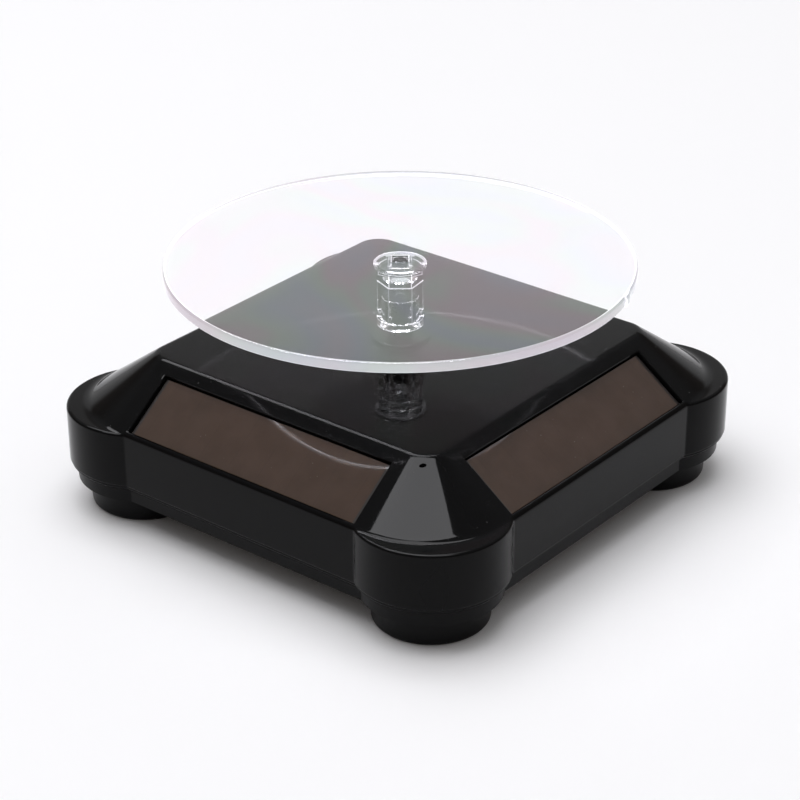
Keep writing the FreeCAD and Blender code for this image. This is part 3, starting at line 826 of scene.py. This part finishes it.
# ---- Sub-assemblies ----
@dataclass
class Housing:
    """The gloss upper moulding: round corners, sloping sides with window recesses, and a flat top."""

    wall_half: float = 50.0
    lobe_at: float = 36.7
    lobe_radius: float = 15.3
    corner_axis: float = 31.3
    bottom: float = 10.1
    wall_top: float = 21.7
    slope: float = math.radians(35.63)
    top_inset: float = 14.3
    top_round: float = 2.0
    edge_round: float = 0.6
    foot_round: float = 0.3
    fillet: float = 3.2
    skin: float = 2.0
    inner_depth: float = 3.5
    bush_hole: float = 4.0
    window_half: float = 28.6
    window_low: float = 0.81
    window_high: float = 11.81
    window_bevel: float = 0.16
    recess_depth: float = 2.3
    cell_sunk: float = 0.9
    cell_thick: float = 1.1
    cell_gap: float = 0.2
    cell_ease: float = 0.12
    pin_at: tuple[float, float] = (34.5, -36.4)
    pin_radius: float = 0.68
    smooth_below: float = 34.0
    stations: list[tuple[float, float, float, float, float, float]] = field(default_factory=list)

    @property
    def top(self) -> float:
        """Height of the flat top."""
        return self.wall_top + self.top_inset * math.tan(self.slope)

    def _stand_out(self, base: np.ndarray, out: np.ndarray) -> float:
        """How far the round corner stands out beyond a point of the roof's foot.

        Args:
            base: the point in plan.
            out: the outward direction.

        Returns:
            The distance, or 0 where the straight wall is further out.
        """
        centre = self.lobe_at * np.sign(base)
        d = base - centre
        along = float(d @ out)
        inside = along * along - float(d @ d) + self.lobe_radius**2
        return max(0.0, -along + math.sqrt(inside)) if inside > 0 else 0.0

    def lay_stations(self) -> None:
        """Sets out stations round the plan: place, outward direction, stand-out and place along the wall."""
        half, bevel = self.window_half, self.window_bevel
        crease = self.lobe_at - math.sqrt(self.lobe_radius**2 - (self.wall_half - self.lobe_at) ** 2)
        inner = list(np.linspace(-half, half, 17))
        edge = [half + bevel, crease] + list(np.linspace(crease + 0.25, self.corner_axis, 8))
        along = [-t for t in reversed(edge)] + inner + edge
        arc = np.radians(np.linspace(-90, 0, 49)[1:-1])
        quarter = [(t, -self.wall_half, 0.0, -1.0, t) for t in along]
        radius = self.wall_half - self.corner_axis
        for a in arc:
            c, s = math.cos(a), math.sin(a)
            quarter.append((self.corner_axis + radius * c, -self.corner_axis + radius * s, c, s, 99.0))
        for side in Side:
            c, s = math.cos(side.value * QUARTER), math.sin(side.value * QUARTER)
            turn = np.array([[c, -s], [s, c]])
            for x, y, ox, oy, t in quarter:
                base, out = turn @ (x, y), turn @ (ox, oy)
                width = self._stand_out(base, out) if abs(t) > crease + 1e-6 else 0.0
                self.stations.append((*base, *out, width, t))

    def roof_height(self, out: float, width: float) -> float:
        """Height of the roof and ledge at a distance outward from the roof's foot.

        Args:
            out: the distance, negative towards the middle.
            width: the ledge's width at this station.

        Returns:
            The height in millimetres.
        """
        rise = math.tan(self.slope)
        half_turn = math.tan(self.slope / 2)
        fillet = min(self.fillet, 1.5 * width)
        reach = fillet * half_turn
        if out > reach:
            height = self.wall_top
        elif out > -reach * math.cos(self.slope) and fillet > 0:
            height = self.wall_top + fillet - math.sqrt(fillet**2 - (out - reach) ** 2)
        else:
            height = self.wall_top - out * rise
        past = -out - self.top_inset
        tangent = self.top_round * half_turn
        if past > tangent:
            return self.top
        if past > -tangent * math.cos(self.slope):
            return self.top - self.top_round + math.sqrt(self.top_round**2 - (past - tangent) ** 2)
        return height

    def profile(self, width: float) -> list[tuple[float, float]]:
        """The outside's section at one station, from the bottom edge to the flat top.

        Args:
            width: the ledge's width there.

        Returns:
            Pairs of outward distance and height.
        """
        r, f = self.edge_round, self.foot_round
        line = []
        for a in np.radians([0, 30, 60, 90]):
            line.append((width - f * (1 - math.sin(a)), self.bottom + f * (1 - math.cos(a))))
        top = self.roof_height(width, width) - r
        line += [(width, z) for z in np.linspace(self.bottom + f, top, 6)[1:-1]]
        for a in np.radians([0, 15, 30, 45, 60, 75, 90]):
            out = width - r * (1 - math.cos(a))
            line.append((out, self.roof_height(out, width) - r * (1 - math.sin(a))))
        start = width - r
        inner = [0.021, 0.0875] + list(np.linspace(0.16, 1.0, 14))
        line += [(o, self.roof_height(o, width)) for o in (start + k * (-3.0 - start) for k in inner)]
        rest = [4.5, 6.0, 7.5, 9.0, 10.5, self.window_high, self.window_high + self.window_bevel, 13.0]
        rest += list(np.linspace(self.top_inset - 0.53, self.top_inset + 0.65, 9)) + [16.5, 18.3]
        line += [(-s, self.roof_height(-s, width)) for s in rest]
        return line

    def _grid(self) -> list[np.ndarray]:
        """Rings of points over the outside, the hole for the bush and the inside.

        Returns:
            The rings; the last one joins the first.
        """
        plan = np.array([s[:2] for s in self.stations])
        out = np.array([s[2:4] for s in self.stations])
        widths = np.array([s[4] for s in self.stations])
        lines = np.array([self.profile(w) for w in widths])
        rings = []
        for k in range(lines.shape[1]):
            rings.append(np.column_stack([plan + out * lines[:, k, :1], lines[:, k, 1]]))
        flat = rings[-1][:, :2]
        heading = flat / np.linalg.norm(flat, axis=1, keepdims=True)
        for share in (0.35, 0.7):
            spread = flat * (1 - share) + heading * 5.4 * share
            rings.append(np.column_stack([spread, np.full(len(flat), self.top)]))
        hole = heading * self.bush_hole
        ceiling = self.top - self.skin
        eave = self.wall_top + self.skin * math.tan(self.slope) - self.inner_depth / math.cos(self.slope)
        inset = (ceiling - self.wall_top + self.inner_depth / math.cos(self.slope)) / math.tan(self.slope)
        rings.append(np.column_stack([hole, np.full(len(flat), self.top)]))
        rings.append(np.column_stack([hole, np.full(len(flat), ceiling)]))
        rings.append(np.column_stack([plan - out * inset, np.full(len(flat), ceiling)]))
        wall = plan + out * (widths[:, None] - self.skin)
        rings.append(np.column_stack([wall, np.full(len(flat), eave)]))
        rings.append(np.column_stack([wall, np.full(len(flat), self.bottom)]))
        return rings

    def build_shell(self) -> bpy.types.Object:
        """Makes the moulding with its four window recesses.

        Returns:
            The piece.
        """
        rings = self._grid()
        count = len(self.stations)
        points, faces = skin_rings(rings, closed=True)
        insets = np.array([-o for o, _ in self.profile(0.0)])
        rows = np.where((insets > self.window_low - 0.02) & (insets < self.window_high + 0.001))[0]
        low, high = int(rows[0]), int(rows[-1])
        windows = [[] for _ in Side]
        for i, station in enumerate(self.stations):
            if abs(station[5]) <= self.window_half + 1e-6:
                windows[i * len(Side) // count].append(i)
        gone = {(r, i) for cols in windows for i in cols[:-1] for r in range(low, high)}
        kept = [f for k, f in enumerate(faces) if (k // count, k % count) not in gone]
        extra = []
        for side, cols in zip(Side, windows):
            inward = -Vector((0, -math.sin(self.slope), math.cos(self.slope)))
            inward.rotate(Matrix.Rotation(side.value * QUARTER, 3, "Z"))
            step = np.array(inward)
            loop = [low * count + c for c in cols] + [r * count + cols[-1] for r in range(low + 1, high + 1)]
            loop += [high * count + c for c in reversed(cols[:-1])]
            loop += [r * count + cols[0] for r in range(high - 1, low, -1)]
            start = len(points) + len(extra)
            for v in loop:
                extra.append(points[v] + step * self.recess_depth)
            for v in loop:
                points[v] = points[v] + step * self.window_bevel
            total = len(loop)
            for k in range(total):
                j = (k + 1) % total
                kept.append([loop[k], loop[j], start + j, start + k])
            kept.append(list(range(start, start + total)))
        shell = mesh_piece("housing_shell", np.vstack([points, np.array(extra)]), kept, self.smooth_below)
        bore_hole(shell, self.pin_at, self.pin_radius, self.wall_top, self.top + 1.0, self.smooth_below)
        return shell

    def build_cell(self) -> bpy.types.Object:
        """Makes the front side's cell: a thin slab with eased edges, and UVs in millimetres.

        Returns:
            The cell.
        """
        half_x = self.window_half - self.cell_gap
        width = (self.window_high - self.window_low) / math.cos(self.slope)
        half_y = width / 2 - self.cell_gap
        ease, thick = self.cell_ease, self.cell_thick
        rings = []
        for inset, z in ((ease, 0.0), (0.0, ease), (0.0, thick - ease), (ease, thick), (1.0, thick)):
            x, y = half_x - inset, half_y - inset
            rings.append(np.array([(-x, -y, z), (x, -y, z), (x, y, z), (-x, y, z)]))
        points, faces = skin_rings(rings)
        faces = [f for f in faces if len(f) == 4] + [[3, 2, 1, 0], [16, 17, 18, 19]]
        cell = mesh_piece("cell_slab", points[:20], faces, 30.0)
        layer = cell.data.uv_layers.new(name="UVMap")
        for loop in cell.data.loops:
            at = cell.data.vertices[loop.vertex_index].co
            layer.data[loop.index].uv = (at.x / MM, at.y / MM)
        middle = (self.window_low + self.window_high) / 2
        deep = self.cell_sunk + self.cell_thick
        seat = Vector((0, -(self.wall_half - middle), self.wall_top + middle * math.tan(self.slope)))
        down = Vector((0, math.sin(self.slope), -math.cos(self.slope))) * deep
        cell.data.transform(Matrix.Translation((seat + down) * MM) @ Matrix.Rotation(self.slope, 4, "X"))
        return cell

    def build(self, palette: Palette) -> None:
        """Makes the shell and the cells and hands them to the frame.

        Args:
            palette: the finishes.
        """
        self.lay_stations()
        shell = self.build_shell()
        shell.data.materials.append(palette.by_slot["gloss_black_moulding"])
        settle(shell, "base", ["upper_housing"])
        values = {"Item": self.build_cell(), "Finish": palette.by_slot["solar_cell"], "Count": len(Side)}
        cells = grown("solar_cells", turning_tree(), values)
        settle(cells, "base", [f"solar_cell_{side.name.lower()}" for side in Side])


@dataclass
class Feet:
    """Four round feet under the corners, each hollow below with a screw's well."""

    reach: float = 36.7
    top_radius: float = 11.7
    sole_radius: float = 11.3
    height: float = 6.0
    ease: float = 0.9
    bore: float = 1.6
    well: tuple[float, float] = (3.5, 3.4)
    groove: tuple[float, float] = (5.6, 9.3)
    groove_depth: float = 3.6
    bevel: float = 0.15
    steps: int = 96

    def underside(self) -> list[tuple[float, float]]:
        """The section of the underside: the screw's bore and well, the boss round it and the groove."""
        boss, ring = self.groove
        well, floor = self.well
        b, roof = self.bevel, self.groove_depth
        line = [(self.bore, self.height), (self.bore, floor), (well - 0.1, floor), (well, floor - 0.1)]
        line += [(well, b), (well + b, 0.0), (boss - b, 0.0), (boss, b), (boss, roof - b), (boss + b, roof)]
        return line + [(ring - b, roof), (ring, roof - b), (ring, b), (ring + b, 0.0)]

    def build(self, palette: Palette) -> None:
        """Makes the feet and hands them to the frame.

        Args:
            palette: the finishes.
        """
        middle = self.sole_radius - self.ease
        line = []
        for a in np.radians([-90, -72, -54, -36, -18, 0]):
            line.append((middle + self.ease * math.cos(a), self.ease + self.ease * math.sin(a)))
        line += [(self.top_radius - 0.1, self.height - 0.1), (self.top_radius - 0.2, self.height)]
        angles = full_turn(self.steps)
        rings = [polar_ring(round_radius(r), z, angles) for r, z in line + self.underside()]
        foot = mesh_piece("foot", *skin_rings(rings, closed=True), 30.0)
        values = {"Item": foot, "Finish": palette.by_slot["foot_rubber"], "Reach": self.reach * MM}
        feet = grown("feet", corner_tree(), values)
        names = [f"foot_{a}_{b}" for a in ("front", "back") for b in ("left", "right")]
        settle(feet, "base", names)


@dataclass
class Tray:
    """The clear tray: a round plate on a hexagonal post that pushes onto the shaft."""

    radius: float = 46.74
    thick: float = 2.0
    top: float = 49.9
    ease: float = 0.28
    top_ease: float = 0.55
    nub_headings: tuple[float, float, float, float] = (15.25, 15.35, 17.2, 20.2)
    nub_out: tuple[float, float, float, float] = (0.0, 0.42, 0.36, 0.0)
    facing: float = math.radians(-51.0)
    post_bottom: float = 34.75
    collar: float = 1.55
    corner: float = 4.68
    neck: float = 4.5
    shoulder: float = 43.75
    flange_radius: float = 5.3
    flange: float = 0.9
    bore: float = 2.54
    bore_step: float = 40.3
    tip: float = 2.3
    bore_top: float = 44.5
    tenon: float = 3.3
    gap: float = 0.06
    sunk: float = 0.2
    hole_bevel: float = 0.2
    flat_ring: float = 12.0
    upright_ease: float = 0.07
    gentlest: float = 0.3
    steepest: float = 0.93
    steps: int = 240

    @property
    def angles(self) -> np.ndarray:
        """Headings that fall on the hexagon's and the square's corners."""
        return full_turn(self.steps, self.facing + math.radians(30))

    def square(self, side: float) -> RadiusAt:
        """A square that faces the way that the post does."""
        return polygon_radius(len(Side), side / math.sqrt(2), self.facing + math.pi / 4)

    def hexagon(self, corner: float) -> RadiusAt:
        """A hexagon with its upright edges eased."""
        sharp = polygon_radius(6, corner, self.facing + math.radians(30))
        return lambda angles: np.minimum(sharp(angles), corner - self.upright_ease)

    def build_plate(self) -> bpy.types.Object:
        """Makes the plate, with eased rims and a square hole.

        Returns:
            The plate.
        """
        under = self.top - self.thick
        extra = np.radians(np.array(self.nub_headings))
        fine = np.sort(np.mod(np.concatenate([self.angles, extra]), 2 * math.pi))
        hole, opened = self.square(self.tenon), self.square(self.tenon + 2 * self.hole_bevel)
        ring = round_radius(self.flat_ring)

        def rim(inset: float) -> RadiusAt:
            """Returns the rim's radius with the gate's break-off, less an inset."""
            return lambda a: self.radius - inset + np.interp(np.degrees(a), self.nub_headings, self.nub_out)

        outline = [(hole, under), (ring, under)]
        for a in np.radians([-90, -60, -30, 0]):
            outline.append((rim(self.ease * (1 - math.cos(a))), under + self.ease * (1 + math.sin(a))))
        for a in np.radians([0, 30, 60, 90]):
            height = self.top - self.top_ease * (1 - math.sin(a))
            outline.append((rim(self.top_ease * (1 - math.cos(a))), height))
        outline += [(ring, self.top), (opened, self.top), (hole, self.top - self.hole_bevel)]
        rings = [polar_ring(shape, z, fine) for shape, z in outline]
        plate = mesh_piece("tray_plate", *skin_rings(rings, closed=True), 40.0)
        # The faces of the square hole's bevel take the second slot, which emits a bright painted highlight.
        for face in plate.data.polygons:
            x, y, z = face.center / MM
            near = math.hypot(x, y) < self.tenon and z > self.top - self.hole_bevel
            face.material_index = int(near and abs(face.normal.z) < self.steepest)
        return plate

    def build_post(self) -> bpy.types.Object:
        """Makes the post, from the blind end of its socket, out and up to the tenon.

        Returns:
            The post.
        """
        body, neck = self.hexagon(self.corner), self.hexagon(self.neck)
        under = self.top - self.thick - self.gap
        shelf, tip = under - self.flange, self.top - self.sunk
        low, collar_top = self.post_bottom, self.post_bottom + self.collar
        tenon = self.tenon - 2 * self.gap
        ring = round_radius
        outline = [
            (ring(self.tip - 0.4), self.bore_top),
            (ring(self.tip), self.bore_top - 0.25),
            (ring(self.tip), self.bore_step),
            (ring(self.bore - 0.05), self.bore_step),
            (ring(self.bore), self.bore_step - 0.05),
            (ring(self.bore), low + 0.1),
            (ring(self.bore + 0.1), low),
            (ring(self.corner - 0.2), low),
            (ring(self.corner - 0.05), low + 0.06),
            (ring(self.corner), low + 0.2),
            (ring(self.corner), collar_top - 0.05),
            (ring(self.corner - 0.03), collar_top),
            (body, collar_top + 0.12),
            (body, self.shoulder),
            (neck, self.shoulder + 0.18),
            (neck, shelf - 0.35),
            (ring(self.corner + 0.1), shelf - 0.12),
            (ring(self.flange_radius - 0.12), shelf + 0.08),
            (ring(self.flange_radius), shelf + 0.2),
            (ring(self.flange_radius), under - 0.15),
            (ring(self.flange_radius - 0.12), under),
            (self.square(tenon), under),
            (self.square(tenon), tip - 0.25),
            (self.square(tenon - 0.5), tip),
        ]
        rings = [polar_ring(shape, z, self.angles) for shape, z in outline]
        post = mesh_piece("tray_post", *skin_rings(rings), 32.0)
        self.mark_edges(post, shelf + 0.05, under - 0.2)
        return post

    def mark_edges(self, post: bpy.types.Object, neck_top: float, rim_top: float) -> None:
        """Gives the narrow faces of the post, where a real edge would gather light, its second slot and third
        slot, whose finishes emit a painted highlight.

        The third, a soft painted highlight, is for the upright edges of the body below the shoulder, and the
        second, a bright painted highlight, for all the others.

        Args:
            post: the post.
            neck_top: the height of the top of the neck.
            rim_top: the height under the top edge of the flange.
        """
        bore_margin, edge_reach = 0.3, math.radians(1.6)
        apart = math.pi / 3
        first = self.facing + apart / 2
        collar_top = self.post_bottom + self.collar
        for face in post.data.polygons:
            x, y, z = face.center / MM
            if math.hypot(x, y) < self.bore + bore_margin:
                continue
            off = (math.atan2(y, x) - first + apart / 2) % apart - apart / 2
            tilt = abs(face.normal.z)
            upright = tilt < self.gentlest and abs(off) < edge_reach and collar_top < z < neck_top
            level = self.gentlest < tilt < self.steepest and not rim_top < z < self.top - self.thick
            face.material_index = 2 if upright and z < self.shoulder else int(upright or level)

    def build(self, palette: Palette) -> None:
        """Makes the plate and the post and hands them to the frame.

        Args:
            palette: the finishes.
        """
        # The plate's finish emits a faint painted light all over and a painted highlight on its rim; the
        # post's finish emits none.
        clear = palette.by_slot["clear_acrylic"]
        for piece, node, finish in (
            (self.build_plate(), "display_disc", clear),
            (self.build_post(), "display_post", palette.clear_post),
        ):
            # The second and third slots emit painted highlights, bright and soft.
            for material in (finish, palette.painted_edge_highlight, palette.painted_soft_highlight):
                piece.data.materials.append(material)
            settle(piece, "tray", [node])


@dataclass(frozen=True)
class Panel:
    """A level light panel, seen in glossy faces only, that faces down and is laid along a line in plan.

    Attributes:
        name: the light's name.
        start: one end of the line, in metres.
        end: the other end.
        sides: how far the panel reaches across the line, to the right (negative) and to the left of it.
        height: the panel's height.
        radiance: how bright its face is.
    """

    name: str
    start: tuple[float, float]
    end: tuple[float, float]
    sides: tuple[float, float]
    height: float
    radiance: float


@dataclass
class Studio:
    """The camera, the lights and a plain pale floor."""

    azimuth: float = math.radians(38.94)
    elevation: float = math.radians(27.24)
    distance: float = 0.48375
    look_height: float = 0.01848
    side_step: float = -0.00014
    roll: float = math.radians(-0.26)
    lens: float = 107.22195
    sensor: float = 36.0
    light_tint: tuple[float, float, float] = (0.97, 0.97, 1.0)
    low_sky: Colour = (0.20, 0.175, 0.16, 1)
    high_sky: Colour = (0.45, 0.45, 0.46, 1)
    card: Colour = (0.74, 0.74, 0.75, 1)
    sky_band: tuple[float, float] = (0.42, 0.65)
    card_edge: tuple[float, float] = (0.42, 0.50)
    card_side: tuple[float, float] = (0.70, 0.80)
    overhead: Panel = Panel("overhead", (-0.93, -0.50), (0.56, 0.13), (-0.40, 0.10), 1.6, 10.5)
    edge: Panel = Panel("edge", (-1.5, 0.45), (-0.15, 0.45), (-0.45, 0.45), 1.6, 7.0)
    soft_place: Point = (-0.3, -0.1, 1.9)
    soft_size: tuple[float, float] = (1.8, 1.8)
    soft_power: float = 31.0
    floor_half: float = 6.0

    def set_camera(self) -> None:
        """Makes the camera and looks through it."""
        a, e = self.azimuth, self.elevation
        back = Vector((math.sin(a) * math.cos(e), -math.cos(a) * math.cos(e), math.sin(e)))
        right = Vector((math.cos(a), math.sin(a), 0.0))
        up = back.cross(right)
        place = Vector((0, 0, self.look_height)) + back * self.distance + right * self.side_step
        c, s = math.cos(self.roll), math.sin(self.roll)
        right, up = right * c + up * s, up * c - right * s
        data = bpy.data.cameras.new("camera")
        data.sensor_width = self.sensor
        data.lens = self.lens
        data.clip_start, data.clip_end = 0.01, 50.0
        camera = bpy.data.objects.new("camera", data)
        camera.matrix_world = Matrix((right, up, back)).transposed().to_4x4()
        camera.matrix_world.translation = place
        bpy.context.scene.collection.objects.link(camera)
        bpy.context.scene.camera = camera

    def add_panel(self, panel: Panel) -> None:
        """Adds a light panel.

        Args:
            panel: where it lies and how bright it is.
        """
        a, b = Vector(panel.start), Vector(panel.end)
        along = (b - a).normalized()
        across = Vector((-along.y, along.x))
        middle = (a + b) / 2 + across * sum(panel.sides) / 2
        length, width = (b - a).length, panel.sides[1] - panel.sides[0]
        power = panel.radiance * math.pi * length * width
        light = self.add_light(panel.name, (*middle, panel.height), (*middle, 0), (length, width), power)
        light.rotation_euler = (0, 0, math.atan2(along.y, along.x))
        light.visible_diffuse = False

    def add_light(
        self, name: str, place: Point, target: Point, size: tuple[float, float], power: float
    ) -> bpy.types.Object:
        """Adds a soft rectangular light.

        Args:
            name: the light's name.
            place: its middle, in metres.
            target: the point that it faces.
            size: width and height in metres.
            power: watts.

        Returns:
            The light.
        """
        data = bpy.data.lights.new(name, "AREA")
        data.shape, data.size, data.size_y = "RECTANGLE", *size
        data.energy, data.color = power, self.light_tint
        light = bpy.data.objects.new(name, data)
        light.location = place
        light.rotation_euler = (Vector(target) - Vector(place)).to_track_quat("-Z", "Y").to_euler()
        bpy.context.scene.collection.objects.link(light)
        return light

    def set_world(self) -> None:
        """Makes the pale surroundings."""
        world = bpy.data.worlds.new("surroundings")
        world.use_nodes = True
        w = Wiring(world.node_tree)
        heading = w.add("ShaderNodeTexCoord").outputs["Generated"]
        height = w.add("ShaderNodeSeparateXYZ", {0: heading}).outputs[2]
        colour = w.mixed(w.step(height, *self.sky_band), self.low_sky, self.high_sky)
        behind = (-math.sin(self.azimuth), math.cos(self.azimuth), 0.0)
        facing = w.add("ShaderNodeVectorMath", {0: heading, 1: behind}, operation="DOT_PRODUCT")
        sideways = w.step(facing.outputs["Value"], *self.card_side)
        card = w.product(sideways, w.math("SUBTRACT", 1.0, w.step(height, *self.card_edge)))
        background = world.node_tree.nodes["Background"]
        w.join(w.mixed(card, colour, self.card), background.inputs["Color"])
        bpy.context.scene.world = world

    def build(self) -> None:
        """Makes everything round the object."""
        self.set_camera()
        self.set_world()
        self.add_panel(self.overhead)
        self.add_panel(self.edge)
        soft = self.add_light("soft", self.soft_place, ORIGIN, self.soft_size, self.soft_power)
        soft.visible_glossy = False
        soft.visible_transmission = False
        corners = np.array([(-1, -1, 0), (1, -1, 0), (1, 1, 0), (-1, 1, 0)]) * self.floor_half / MM
        floor = mesh_piece("floor", corners, [[0, 1, 2, 3]])
        floor.data.materials.append(FloorFinish().build())


def main() -> None:
    """Builds the scene piece by piece."""
    logging.basicConfig(level=logging.INFO, format="%(name)s: %(message)s")
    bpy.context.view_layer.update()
    Studio().build()
    bpy.context.scene.view_settings.view_transform = "Standard"
    palette = Palette(Effects())
    palette.dress_frame()
    Housing().build(palette)
    Feet().build(palette)
    Tray().build(palette)


if __name__ == "__main__":
    main()
